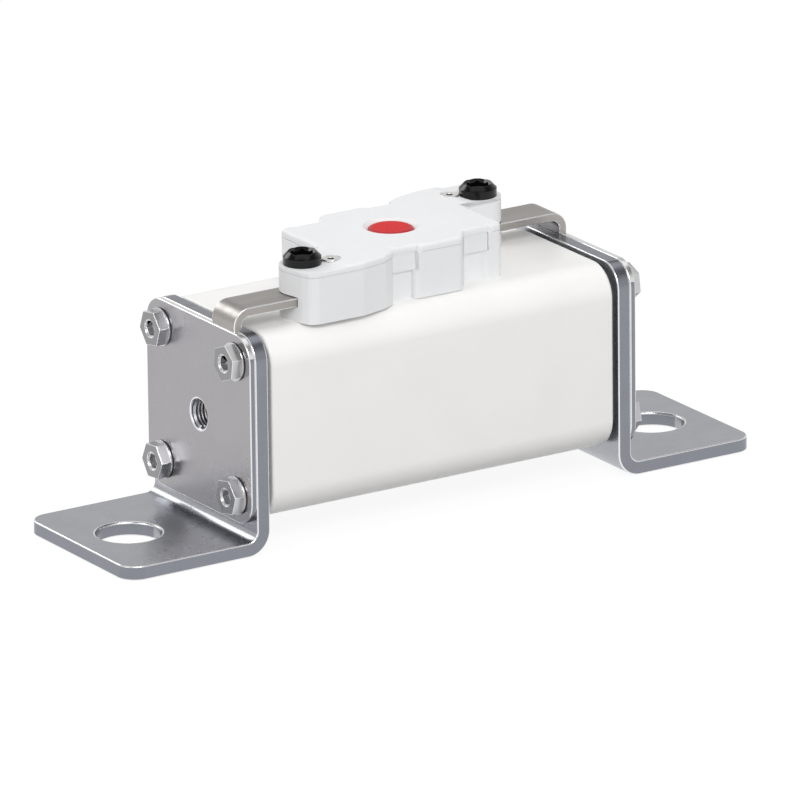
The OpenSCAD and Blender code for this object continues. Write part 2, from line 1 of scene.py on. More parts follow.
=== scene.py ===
import sys
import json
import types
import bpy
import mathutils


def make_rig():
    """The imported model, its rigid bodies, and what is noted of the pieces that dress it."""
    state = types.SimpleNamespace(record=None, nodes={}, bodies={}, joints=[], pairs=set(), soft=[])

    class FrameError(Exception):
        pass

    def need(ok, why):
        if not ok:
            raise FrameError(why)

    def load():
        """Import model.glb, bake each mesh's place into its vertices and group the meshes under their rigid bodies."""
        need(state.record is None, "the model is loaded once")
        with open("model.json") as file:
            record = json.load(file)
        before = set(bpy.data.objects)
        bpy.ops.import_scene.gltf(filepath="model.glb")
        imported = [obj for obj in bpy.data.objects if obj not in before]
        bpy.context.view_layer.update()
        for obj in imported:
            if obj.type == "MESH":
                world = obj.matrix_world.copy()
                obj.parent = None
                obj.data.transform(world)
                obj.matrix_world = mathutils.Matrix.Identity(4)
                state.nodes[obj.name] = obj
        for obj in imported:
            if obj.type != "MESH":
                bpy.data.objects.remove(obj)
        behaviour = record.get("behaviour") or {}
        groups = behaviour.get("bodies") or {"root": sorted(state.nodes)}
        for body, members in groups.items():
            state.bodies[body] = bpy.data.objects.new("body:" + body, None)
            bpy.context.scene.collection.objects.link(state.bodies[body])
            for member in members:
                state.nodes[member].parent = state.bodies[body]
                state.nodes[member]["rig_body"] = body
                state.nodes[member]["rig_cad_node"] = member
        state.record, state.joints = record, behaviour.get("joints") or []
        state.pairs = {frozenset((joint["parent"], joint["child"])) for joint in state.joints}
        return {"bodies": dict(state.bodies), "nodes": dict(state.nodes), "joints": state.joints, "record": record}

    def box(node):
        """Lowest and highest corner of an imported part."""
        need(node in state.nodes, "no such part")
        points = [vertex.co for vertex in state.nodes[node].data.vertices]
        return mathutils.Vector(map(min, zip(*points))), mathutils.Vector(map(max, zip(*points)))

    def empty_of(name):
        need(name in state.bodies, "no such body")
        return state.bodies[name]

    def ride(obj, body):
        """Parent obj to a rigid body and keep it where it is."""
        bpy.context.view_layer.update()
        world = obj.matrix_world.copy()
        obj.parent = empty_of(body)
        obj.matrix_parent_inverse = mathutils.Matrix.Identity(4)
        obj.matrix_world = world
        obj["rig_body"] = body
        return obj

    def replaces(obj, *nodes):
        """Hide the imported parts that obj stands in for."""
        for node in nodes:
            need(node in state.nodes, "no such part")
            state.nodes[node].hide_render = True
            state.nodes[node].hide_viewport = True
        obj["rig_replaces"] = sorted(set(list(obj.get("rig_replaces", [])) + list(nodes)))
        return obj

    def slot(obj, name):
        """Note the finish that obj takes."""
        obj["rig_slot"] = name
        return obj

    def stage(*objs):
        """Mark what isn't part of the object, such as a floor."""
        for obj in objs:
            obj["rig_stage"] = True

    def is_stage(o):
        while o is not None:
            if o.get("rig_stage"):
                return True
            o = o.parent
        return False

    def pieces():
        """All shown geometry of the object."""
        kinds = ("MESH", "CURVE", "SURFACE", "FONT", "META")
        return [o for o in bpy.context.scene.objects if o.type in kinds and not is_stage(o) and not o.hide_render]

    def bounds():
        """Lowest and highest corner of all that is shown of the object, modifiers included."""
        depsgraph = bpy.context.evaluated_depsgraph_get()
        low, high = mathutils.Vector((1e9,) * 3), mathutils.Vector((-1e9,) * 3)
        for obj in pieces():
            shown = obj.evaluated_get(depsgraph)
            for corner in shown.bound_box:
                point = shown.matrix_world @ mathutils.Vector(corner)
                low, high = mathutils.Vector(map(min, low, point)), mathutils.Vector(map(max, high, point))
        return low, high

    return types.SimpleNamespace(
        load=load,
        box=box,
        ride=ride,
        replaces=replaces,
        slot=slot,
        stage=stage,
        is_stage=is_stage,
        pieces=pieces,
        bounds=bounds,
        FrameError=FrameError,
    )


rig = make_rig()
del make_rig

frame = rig.load()
CAD_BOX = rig.bounds()

import json
import math

import bpy
from mathutils import Matrix, Vector

bl_info = {
    "name": "Square-body cartridge fuse",
    "version": (1, 0, 0),
    "blender": (4, 5, 0),
    "location": "View3D > Sidebar > Fuse",
    "description": "Finishes a square-body cartridge fuse with bolted terminals and a striker indicator",
    "category": "Object",
}

MM = 0.001
FIXED = "fuse"
MOVING = "striker"
ENDS = (("left", -1), ("right", 1))

# How near points are merged, the bend under which faces are one flat, and how far inside an end of a piece its
# faces are looked for: at the top of a plate or screw, at the end of a foot, and at the striker's rim
MERGE_DISTANCE = 2e-6
FLAT_ANGLE = math.radians(0.1)
LEVEL = 0.1 * MM
FOOT_END = 0.3 * MM
RIM_LEVEL = 0.05 * MM

# The connection thread: radius at the root and at the crest, how far its ridge is seated in the wall, the depth
# of its mouth, the ridge's width as a share of the pitch, and its steps in a turn
THREAD_ROOT = 6.0 * MM
THREAD_CREST = 5.1 * MM
THREAD_SEAT = 0.03 * MM
THREAD_MOUTH = 0.6 * MM
THREAD_WIDTH = 0.9
THREAD_STEPS = 48


# Sizes and colours that a user would change

class FuseSizes(bpy.types.PropertyGroup):
    plate_edge: bpy.props.FloatProperty(
        name="Plate edge", description="Rounding of the terminal plates' edges", default=0.5 * MM,
        min=0.0, max=1.5 * MM, unit="LENGTH", precision=5)
    face_edge: bpy.props.FloatProperty(
        name="Face plate edge", description="Rounding of the face plates' edges", default=0.4 * MM,
        min=0.0, max=1.0 * MM, unit="LENGTH", precision=5)
    # Sets where the face plates' tops take the painted highlight of the pale edge colour
    face_rim: bpy.props.FloatProperty(
        name="Face plate rim", description="How far in from the outline the face plates' rim is looked for",
        default=8 * MM, min=1 * MM, max=12 * MM, unit="LENGTH", precision=5)
    strap_edge: bpy.props.FloatProperty(
        name="Strap edge", description="Rounding of the straps' edges", default=0.35 * MM,
        min=0.0, max=1.0 * MM, unit="LENGTH", precision=5)
    ceramic_edge: bpy.props.FloatProperty(
        name="Ceramic edge", description="Rounding at the ends of the ceramic body", default=1.2 * MM,
        min=0.0, max=2.5 * MM, unit="LENGTH", precision=5)
    screw_edge: bpy.props.FloatProperty(
        name="Screw edge", description="Rounding of the screw heads' edges", default=0.22 * MM,
        min=0.0, max=0.5 * MM, unit="LENGTH", precision=5)
    moulding_edge: bpy.props.FloatProperty(
        name="Moulding edge", description="Rounding of the housing's edges", default=0.45 * MM,
        min=0.0, max=1.0 * MM, unit="LENGTH", precision=5)
    cover_edge: bpy.props.FloatProperty(
        name="Cover edge", description="Rounding of the housing cover's edges", default=0.25 * MM,
        min=0.0, max=0.6 * MM, unit="LENGTH", precision=5)
    clamp_edge: bpy.props.FloatProperty(
        name="Clamp screw edge", description="Rounding of the clamp screws' edges", default=0.18 * MM,
        min=0.0, max=0.5 * MM, unit="LENGTH", precision=5)
    rivet_edge: bpy.props.FloatProperty(
        name="Rivet edge", description="Rounding of the rivets' rims", default=0.3 * MM,
        min=0.0, max=0.5 * MM, unit="LENGTH", precision=5)
    striker_edge: bpy.props.FloatProperty(
        name="Striker edge", description="Rounding of the striker's rim", default=0.9 * MM,
        min=0.0, max=1.2 * MM, unit="LENGTH", precision=5)
    thread_pitch: bpy.props.FloatProperty(
        name="Thread pitch", description="Distance from turn to turn of the connection thread",
        default=1.5 * MM, min=1.0 * MM, max=2.5 * MM, unit="LENGTH", precision=5)


class FuseColours(bpy.types.PropertyGroup):
    ceramic: bpy.props.FloatVectorProperty(
        name="Ceramic", description="Colour of the ceramic body", default=(0.88, 0.873, 0.862),
        subtype="COLOR", min=0.0, max=1.0)
    moulding: bpy.props.FloatVectorProperty(
        name="Moulding", description="Colour of the indicator housing", default=(0.795, 0.8, 0.81),
        subtype="COLOR", min=0.0, max=1.0)
    plate: bpy.props.FloatVectorProperty(
        name="Terminal", description="Colour of the terminal plates", default=(0.42, 0.43, 0.46),
        subtype="COLOR", min=0.0, max=1.0)
    face: bpy.props.FloatVectorProperty(
        name="Face plate", description="Colour of the face plates", default=(0.385, 0.375, 0.39),
        subtype="COLOR", min=0.0, max=1.0)
    # Painted shade: a darker metal colour on the plates' side, top and end faces, standing in for the shade on them
    cut: bpy.props.FloatVectorProperty(
        name="Cut face", description="Colour of the plates' cut faces", default=(0.26, 0.27, 0.305),
        subtype="COLOR", min=0.0, max=1.0)
    # Painted highlight: a pale metal colour on the rounded metal edges and the face plates' tops, standing in for the
    # light they catch
    edge: bpy.props.FloatVectorProperty(
        name="Bright edge", description="Colour of the rounded metal edges", default=(0.86, 0.86, 0.87),
        subtype="COLOR", min=0.0, max=1.0)
    strap: bpy.props.FloatVectorProperty(
        name="Strap", description="Colour of the straps", default=(0.40, 0.38, 0.36),
        subtype="COLOR", min=0.0, max=1.0)
    screw: bpy.props.FloatVectorProperty(
        name="Screw", description="Colour of the nuts and the end screws' sockets",
        default=(0.58, 0.58, 0.59), subtype="COLOR", min=0.0, max=1.0)
    # Painted shade: the end screws' end faces take a darker copy of the screw metal
    screw_face: bpy.props.FloatVectorProperty(
        name="Screw end", description="Colour of the end screws' end faces", default=(0.3, 0.3, 0.305),
        subtype="COLOR", min=0.0, max=1.0)
    # Painted light: the end screws' flats, flanges and shanks take a lighter copy of the screw metal
    screw_side: bpy.props.FloatVectorProperty(
        name="Screw side", description="Colour of the end screws' flats", default=(0.62, 0.62, 0.63),
        subtype="COLOR", min=0.0, max=1.0)
    rivet: bpy.props.FloatVectorProperty(
        name="Rivet", description="Colour of the hollow rivets", default=(0.8, 0.79, 0.77),
        subtype="COLOR", min=0.0, max=1.0)
    clamp: bpy.props.FloatVectorProperty(
        name="Clamp screw", description="Colour of the clamp screws", default=(0.003, 0.003, 0.003),
        subtype="COLOR", min=0.0, max=1.0)
    striker: bpy.props.FloatVectorProperty(
        name="Striker", description="Colour of the striker", default=(0.62, 0.0035, 0.0075),
        subtype="COLOR", min=0.0, max=1.0)
    # Painted shade: the striker's side and rounded rim take a darker red
    striker_rim: bpy.props.FloatVectorProperty(
        name="Striker rim", description="Colour of the striker's rounded rim", default=(0.46, 0.006, 0.01),
        subtype="COLOR", min=0.0, max=1.0)


class FuseStage(bpy.types.PropertyGroup):
    azimuth: bpy.props.FloatProperty(
        name="Azimuth", description="How far the camera stands round the left end",
        default=math.radians(32.317), subtype="ANGLE")
    elevation: bpy.props.FloatProperty(
        name="Elevation", description="Height of the camera above the horizon",
        default=math.radians(17.886), subtype="ANGLE")
    distance: bpy.props.FloatProperty(
        name="Distance", description="Distance from the camera to the fuse", default=4.75, unit="LENGTH")
    lens: bpy.props.FloatProperty(
        name="Lens", description="Focal length in millimetres on a 36 mm sensor", default=538.25)


# The end screws' heads: across the flats, radius and height of the round flange, how far the hexagon is sunk
# in it, the gap under it, the mouth, the socket, the shank, and how far each head is turned, in degrees
HEAD_FLATS = 13.4 * MM
HEAD_FLANGE = 7.7 * MM
FLANGE_HEIGHT = 0.7 * MM
HEAD_SINK = 0.2 * MM
HEAD_RELIEF = 0.3 * MM
MOUTH_RADIUS = 3.65 * MM
MOUTH_DEPTH = 0.5 * MM
SOCKET_FLATS = 5.6 * MM
SOCKET_DEPTH = 3.5 * MM
SHANK_RADIUS = 4 * MM
SHANK_LENGTH = 4 * MM
HEAD_TURNS = (11, 5, 21, 9)

# The chamfer round the clamp screws' sockets
CHAMFER_INNER = 4.9 * MM
CHAMFER_OUTER = 6.3 * MM
CHAMFER_DEPTH = 1.3 * MM

# Colours of the pieces that are hidden or nearly hidden
GASKET_GREY = (0.17, 0.17, 0.175)
SAND = (0.62, 0.56, 0.44)
SILVER = (0.78, 0.78, 0.77)
COPPER = (0.62, 0.27, 0.14)
SPRING_GREY = (0.5, 0.5, 0.51)

# The span of a noise's values that a finish spreads over its own range
NOISE_LOW = 0.3
NOISE_HIGH = 0.7

# The floor: size, how far it lies below the feet, its colour, and as the camera and the metal see it the
# strength of its white and the share of that beside the lit surface
FLOOR_SIZE = 12
FLOOR_DROP = 0.0002
FLOOR_GREY = (0.4, 0.4, 0.4)
FLOOR_GLOW = 1.26
FLOOR_SHARE = 0.72

# The world: the heights between which it fades, and its strength overhead
WORLD_FADE = (0.42, 0.7)
WORLD_DIM = 0.2

# The lamps: place, target, width, height and power in watts
LAMPS = {
    "key": ((-0.5, -1.6, 1.6), (0, 0, 0.05), 1.4, 1.0, 29),
    "end_fill": ((-1.9, -0.2, 0.7), (0, 0, 0.05), 0.9, 0.9, 4),
    "top": ((0.2, 0.3, 1.9), (0, 0, 0.05), 2.2, 2.2, 14),
    "rim": ((-0.65, 1.75, 1.15), (-0.05, 0, 0.05), 0.9, 0.8, 8),
}

# The camera: its roll, the point that it looks at, how far the picture is shifted, its sensor and its reach
CAMERA_ROLL = math.radians(-0.6595)
CAMERA_AIM = (0, 0, 0.0438)
CAMERA_SHIFT = (0.00923, -0.0181)
SENSOR_WIDTH = 36
CAMERA_REACH = 50


# Places taken from the frame

def thread_span(side):
    """X of the outer and inner mouths of an end's connection thread."""
    face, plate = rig.box(side + "_face_plate"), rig.box(side + "_terminal")
    return (face[0].x, plate[1].x) if side == "left" else (face[1].x, plate[0].x)


def thread_height():
    for mount in frame["record"]["mounts"]:
        if mount["name"] == "left_connection_thread":
            return mount["pos_m"][2]
    raise RuntimeError("the record has no connection thread")


# Helpers for working on one object at a time

def only(piece):
    if bpy.context.object and bpy.context.object.mode != "OBJECT":
        bpy.ops.object.mode_set(mode="OBJECT")
    bpy.ops.object.select_all(action="DESELECT")
    piece.select_set(True)
    bpy.context.view_layer.objects.active = piece


def named(name):
    piece = bpy.context.object
    piece.name = name
    piece.data.name = name
    return piece


def apply_modifiers(piece):
    only(piece)
    for modifier in list(piece.modifiers):
        bpy.ops.object.modifier_apply(modifier=modifier.name)


def settle(piece):
    only(piece)
    bpy.ops.object.transform_apply(location=True, rotation=True, scale=True)


def smooth(piece, degrees=35):
    """Smooth shading in which flat faces stay flat beside their rounded edges."""
    only(piece)
    bpy.ops.object.shade_smooth_by_angle(angle=math.radians(degrees))
    weigh = piece.modifiers.new("Flat faces", "WEIGHTED_NORMAL")
    weigh.keep_sharp = True
    apply_modifiers(piece)


def round_edges(piece, width, degrees=30, segments=3, clamp=False):
    """Rounds the sharp edges, in the last of the piece's finishes.

    With clamp, the rounding is never wider than the faces beside it allow."""
    only(piece)
    bevel = piece.modifiers.new("Edge", "BEVEL")
    bevel.width = width
    bevel.segments = segments
    bevel.limit_method = "ANGLE"
    bevel.angle_limit = math.radians(degrees)
    bevel.use_clamp_overlap = clamp
    # On the metal pieces the last finish is the pale edge colour, so the rounding carries a painted highlight
    bevel.material = len(piece.data.materials) - 1
    apply_modifiers(piece)


def finish_faces(piece, index, test):
    """Gives the flat faces that pass the test another of the piece's finishes."""
    for face in piece.data.polygons:
        if test(face):
            face.material_index = index


def cut(piece, tool):
    """Takes the tool's shape out of the piece and deletes the tool."""
    away = piece.modifiers.new("Cut", "BOOLEAN")
    away.operation = "DIFFERENCE"
    away.solver = "EXACT"
    away.object = tool
    apply_modifiers(piece)
    only(tool)
    bpy.ops.object.delete()


def corner_radius(flats):
    """How far a hexagon's corners lie from its middle."""
    return flats / 2 / math.cos(math.radians(30))


def prism(sides, radius, depth, place, axis="Z", top=None):
    """A prism, or a cone where it has a top radius, along an axis and centred on its place."""
    bpy.ops.object.select_all(action="DESELECT")
    turn = (0, math.radians(90), 0) if axis == "X" else (0, 0, 0)
    if top is None:
        bpy.ops.mesh.primitive_cylinder_add(
            vertices=sides, radius=radius, depth=depth, location=place, rotation=turn)
    else:
        bpy.ops.mesh.primitive_cone_add(
            vertices=sides, radius1=radius, radius2=top, depth=depth, location=place, rotation=turn)
    return bpy.context.object


def bore(piece, radius, start, end, height):
    """Widens a hole that runs along X."""
    cut(piece, prism(96, radius, abs(end - start), ((start + end) / 2, 0, height), "X"))


def dress(piece, *looks):
    """Gives a piece its finishes, in order."""
    piece.data.materials.clear()
    for look in looks:
        piece.data.materials.append(finish(look))


def copy_of(node, name, *looks):
    """A cleaned copy of a CAD node's mesh with its finishes, ready to be shaped further."""
    source = frame["nodes"][node]
    only(source)
    bpy.ops.object.duplicate(linked=False)
    piece = named(name)
    if piece.parent is not None:
        bpy.ops.object.parent_clear(type="CLEAR_KEEP_TRANSFORM")
    dress(piece, *looks)
    bpy.ops.object.mode_set(mode="EDIT")
    bpy.ops.mesh.select_all(action="SELECT")
    bpy.ops.mesh.remove_doubles(threshold=MERGE_DISTANCE)
    bpy.ops.mesh.customdata_custom_splitnormals_clear()
    bpy.ops.mesh.dissolve_limited(angle_limit=FLAT_ANGLE, use_dissolve_boundaries=False)
    bpy.ops.object.mode_set(mode="OBJECT")
    return piece


def finish_piece(piece, body, slot, *nodes):
    """Puts a piece on its body, in its material slot and in the place of the CAD nodes that it stands for."""
    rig.ride(piece, body)
    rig.slot(piece, slot)
    if nodes:
        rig.replaces(piece, *nodes)


# Finishes

class Finish:
    """Builds one node material: a base, then layers of colour, roughness and relief."""

    def __init__(self, name, colour, roughness, metallic=0.0, **sockets):
        self.material = bpy.data.materials.new(name)
        self.material.use_nodes = True
        self.tree = self.material.node_tree
        self.tree.nodes.clear()
        self.output = self.tree.nodes.new("ShaderNodeOutputMaterial")
        self.shader = self.tree.nodes.new("ShaderNodeBsdfPrincipled")
        self.tree.links.new(self.shader.outputs["BSDF"], self.output.inputs["Surface"])
        self.shader.inputs["Base Color"].default_value = (*colour, 1.0)
        self.shader.inputs["Roughness"].default_value = roughness
        self.shader.inputs["Metallic"].default_value = metallic
        for socket, value in sockets.items():
            self.shader.inputs[socket.replace("_", " ")].default_value = value
        self.colour = tuple(colour)
        self.place = self.tree.nodes.new("ShaderNodeTexCoord")
        self.relief = None

    def noise(self, scale, detail, stretch=(1.0, 1.0, 1.0)):
        mapping = self.tree.nodes.new("ShaderNodeMapping")
        mapping.inputs["Scale"].default_value = stretch
        texture = self.tree.nodes.new("ShaderNodeTexNoise")
        texture.inputs["Scale"].default_value = scale
        texture.inputs["Detail"].default_value = detail
        self.tree.links.new(self.place.outputs["Object"], mapping.inputs["Vector"])
        self.tree.links.new(mapping.outputs["Vector"], texture.inputs["Vector"])
        return texture.outputs["Fac"]

    def ramp(self, source, low, high):
        spread = self.tree.nodes.new("ShaderNodeMapRange")
        spread.inputs["From Min"].default_value = NOISE_LOW
        spread.inputs["From Max"].default_value = NOISE_HIGH
        spread.inputs["To Min"].default_value = low
        spread.inputs["To Max"].default_value = high
        self.tree.links.new(source, spread.inputs["Value"])
        return spread.outputs["Result"]

    def vary_colour(self, source, amount):
        """Darkens the base colour by an amount where the source is high."""
        darker = tuple(c * (1 - amount) for c in self.colour)
        mix = self.tree.nodes.new("ShaderNodeMix")
        mix.data_type = "RGBA"
        mix.inputs["A"].default_value = (*self.colour, 1.0)
        mix.inputs["B"].default_value = (*darker, 1.0)
        self.tree.links.new(self.ramp(source, 0.0, 1.0), mix.inputs["Factor"])
        self.tree.links.new(mix.outputs["Result"], self.shader.inputs["Base Color"])

    def vary_roughness(self, source, low, high):
        self.tree.links.new(self.ramp(source, low, high), self.shader.inputs["Roughness"])

    def add_relief(self, source, strength, depth):
        bump = self.tree.nodes.new("ShaderNodeBump")
        bump.inputs["Strength"].default_value = strength
        bump.inputs["Distance"].default_value = depth
        self.tree.links.new(source, bump.inputs["Height"])
        if self.relief is not None:
            self.tree.links.new(self.relief, bump.inputs["Normal"])
        self.relief = bump.outputs["Normal"]
        self.tree.links.new(self.relief, self.shader.inputs["Normal"])


FINISHES = {}


def finish(name):
    if name not in FINISHES:
        FINISHES[name] = globals()["make_" + name]()
    return FINISHES[name]


def colours():
    return bpy.context.scene.fuse_colours


def sizes():
    return bpy.context.scene.fuse_sizes


def make_ceramic_glaze():
    look = Finish("ceramic_glaze", colours().ceramic, 0.34, Specular_IOR_Level=0.5, Coat_Weight=0.12,
                  Coat_Roughness=0.3)
    look.vary_colour(look.noise(35, 4), 0.03)
    look.vary_roughness(look.noise(240, 3), 0.30, 0.42)
    look.add_relief(look.noise(60, 2), 0.10, 0.3 * MM)
    look.add_relief(look.noise(1600, 2), 0.05, 0.05 * MM)
    return look.material


def make_housing_plastic():
    look = Finish("housing_plastic", colours().moulding, 0.5, Specular_IOR_Level=0.45)
    look.vary_colour(look.noise(80, 3), 0.02)
    look.vary_roughness(look.noise(900, 2), 0.45, 0.58)
    look.add_relief(look.noise(2600, 2), 0.16, 0.05 * MM)
    return look.material


def make_terminal_metal():
    look = Finish("terminal_metal", colours().plate, 0.27, metallic=1.0)
    look.vary_colour(look.noise(45, 5), 0.04)
    look.vary_roughness(look.noise(90, 3), 0.25, 0.3)
    return look.material


def make_face_metal():
    look = Finish("face_metal", colours().face, 0.26, metallic=1.0)
    look.vary_colour(look.noise(60, 5), 0.04)
    look.vary_roughness(look.noise(90, 3), 0.25, 0.31)
    return look.material


# Painted shade on the plates' cut faces
def make_cut_face():
    look = Finish("cut_face", colours().cut, 0.28, metallic=1.0)
    look.vary_colour(look.noise(90, 4), 0.06)
    look.vary_roughness(look.noise(200, 4), 0.24, 0.32)
    return look.material


# Painted highlight: pale metal for the rounded metal edges and the face plates' tops
def make_bright_edge():
    look = Finish("bright_edge", colours().edge, 0.25, metallic=1.0)
    look.vary_colour(look.noise(80, 3), 0.06)
    look.vary_roughness(look.noise(120, 3), 0.24, 0.3)
    return look.material


def make_strap_metal():
    look = Finish("strap_metal", colours().strap, 0.36, metallic=1.0)
    look.vary_colour(look.noise(60, 4), 0.06)
    look.vary_roughness(look.noise(200, 3, stretch=(0.2, 1, 1)), 0.3, 0.42)
    look.add_relief(look.noise(1200, 2, stretch=(0.1, 1, 1)), 0.08, 0.03 * MM)
    return look.material


def make_screw_zinc():
    look = Finish("screw_zinc", colours().screw, 0.24, metallic=1.0)
    look.vary_colour(look.noise(300, 3), 0.08)
    look.vary_roughness(look.noise(500, 3), 0.2, 0.3)
    return look.material


# Painted shade on the end screws' end faces
def make_screw_face():
    look = Finish("screw_face", colours().screw_face, 0.28, metallic=1.0)
    look.vary_colour(look.noise(250, 3), 0.06)
    look.vary_roughness(look.noise(400, 3), 0.24, 0.34)
    return look.material


def make_screw_recess():
    look = Finish("screw_recess", colours().screw, 0.3, metallic=1.0)
    look.vary_roughness(look.noise(200, 3), 0.26, 0.34)
    return look.material


# Painted light on the end screws' flats, flanges and shanks
def make_screw_side():
    look = Finish("screw_side", colours().screw_side, 0.26, metallic=1.0)
    look.vary_colour(look.noise(150, 3), 0.05)
    look.vary_roughness(look.noise(200, 3), 0.26, 0.32)
    return look.material


def make_clamp_black():
    look = Finish("clamp_black", colours().clamp, 0.16, Specular_IOR_Level=0.3)
    look.vary_roughness(look.noise(600, 3), 0.12, 0.22)
    look.add_relief(look.noise(1400, 2), 0.03, 0.04 * MM)
    return look.material


def make_rivet_tin():
    look = Finish("rivet_tin", colours().rivet, 0.3, metallic=1.0)
    look.vary_colour(look.noise(500, 3), 0.06)
    look.vary_roughness(look.noise(700, 3), 0.24, 0.36)
    return look.material


# Painted shade on the striker's side and rim
def make_striker_rim():
    look = Finish("striker_rim", colours().striker_rim, 0.4, Specular_IOR_Level=0.4)
    look.vary_colour(look.noise(250, 3), 0.07)
    look.add_relief(look.noise(1200, 2), 0.04, 0.04 * MM)
    return look.material


def make_striker_red():
    look = Finish("striker_red", colours().striker, 0.42, Specular_IOR_Level=0.1)
    look.vary_colour(look.noise(250, 3), 0.05)
    look.vary_roughness(look.noise(1000, 2), 0.34, 0.44)
    look.add_relief(look.noise(1200, 2), 0.04, 0.04 * MM)
    return look.material


def make_gasket_fibre():
    look = Finish("gasket_fibre", GASKET_GREY, 0.7)
    look.vary_colour(look.noise(900, 4, stretch=(1, 0.3, 1)), 0.4)
    look.add_relief(look.noise(1500, 3), 0.3, 0.1 * MM)
    return look.material


def make_quartz_sand():
    look = Finish("quartz_sand", SAND, 0.85)
    look.vary_colour(look.noise(1500, 2), 0.3)
    look.add_relief(look.noise(1600, 2), 0.6, 0.3 * MM)
    return look.material


def make_element_silver():
    look = Finish("element_silver", SILVER, 0.22, metallic=1.0)
    look.vary_roughness(look.noise(400, 3, stretch=(0.1, 1, 1)), 0.16, 0.32)
    look.add_relief(look.noise(900, 2, stretch=(0.1, 1, 1)), 0.06, 0.02 * MM)
    return look.material


def make_contact_copper():
    look = Finish("contact_copper", COPPER, 0.3, metallic=1.0)
    look.vary_colour(look.noise(120, 4), 0.15)
    look.vary_roughness(look.noise(300, 3), 0.22, 0.4)
    return look.material


def make_spring_steel():
    look = Finish("spring_steel", SPRING_GREY, 0.25, metallic=1.0)
    look.vary_roughness(look.noise(700, 3), 0.2, 0.35)
    return look.material


# Operators, one for each piece or group of like pieces

class FuseOperator(bpy.types.Operator):
    bl_options = {"REGISTER", "UNDO"}


class FUSE_OT_body(FuseOperator):
    """Ceramic body with softened end edges"""
    bl_idname = "fuse.body"
    bl_label = "Ceramic body"

    def execute(self, context):
        piece = copy_of("ceramic_body", "ceramic_tube", "ceramic_glaze")
        round_edges(piece, sizes().ceramic_edge, 40)
        smooth(piece)
        finish_piece(piece, FIXED, "glazed_ceramic_body", "ceramic_body")
        return {"FINISHED"}


class FUSE_OT_inside(FuseOperator):
    """Finishes for the pieces sealed inside the body"""
    bl_idname = "fuse.inside"
    bl_label = "Inside"

    def execute(self, context):
        looks = {
            "quartz_filler": "quartz_sand", "fuse_elements": "element_silver",
            "left_contact_disc": "contact_copper", "right_contact_disc": "contact_copper",
            "left_gasket": "gasket_fibre", "right_gasket": "gasket_fibre",
            "left_clamp_nut": "screw_zinc", "right_clamp_nut": "screw_zinc",
            "striker_spring": "spring_steel", "retaining_wire": "element_silver",
        }
        for node, look in looks.items():
            mesh = frame["nodes"][node].data
            mesh.materials.clear()
            mesh.materials.append(finish(look))
        return {"FINISHED"}


class FUSE_OT_terminals(FuseOperator):
    """L-shaped terminals with rounded edges"""
    bl_idname = "fuse.terminals"
    bl_label = "Terminals"

    def execute(self, context):
        for side, _ in ENDS:
            piece = copy_of(
                side + "_terminal", side + "_terminal_plate", "terminal_metal", "cut_face", "bright_edge")
            low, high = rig.box(side + "_terminal")
            top = high.z - LEVEL
            end = max(-low.x, high.x) - FOOT_END
            # Painted shade: the side faces, the top of the upright and the end of the foot take the darker cut-face
            # colour
            finish_faces(piece, 1, lambda face: (
                abs(face.normal.y) > 0.2 or face.center.z > top or abs(face.center.x) > end))
            round_edges(piece, sizes().plate_edge, 40)
            bore(piece, THREAD_ROOT, *thread_span(side), thread_height())
            smooth(piece)
            finish_piece(piece, FIXED, "plated_copper", side + "_terminal")
        return {"FINISHED"}


class FUSE_OT_faces(FuseOperator):
    """Face plates with rounded edges"""
    bl_idname = "fuse.faces"
    bl_label = "Face plates"

    def execute(self, context):
        low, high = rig.box("left_face_plate")
        plate_middle = (low.z + high.z) / 2
        for side, _ in ENDS:
            piece = copy_of(side + "_face_plate", side + "_face", "face_metal", "cut_face", "bright_edge")
            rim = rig.box(side + "_face_plate")[1].y - sizes().face_rim
            # Painted shade: the face plates' side faces take the darker cut-face colour
            finish_faces(piece, 1, lambda face: abs(face.normal.y) > 0.9)
            # Painted highlight: the face plate's top takes the pale edge colour, standing in for the light it catches
            finish_faces(piece, 2, lambda face: face.normal.z > 0.3 and face.center.z - plate_middle > rim)
            round_edges(piece, sizes().face_edge, 30)
            bore(piece, THREAD_ROOT, *thread_span(side), thread_height())
            smooth(piece)
            finish_piece(piece, FIXED, "plated_copper", side + "_face_plate")
        return {"FINISHED"}


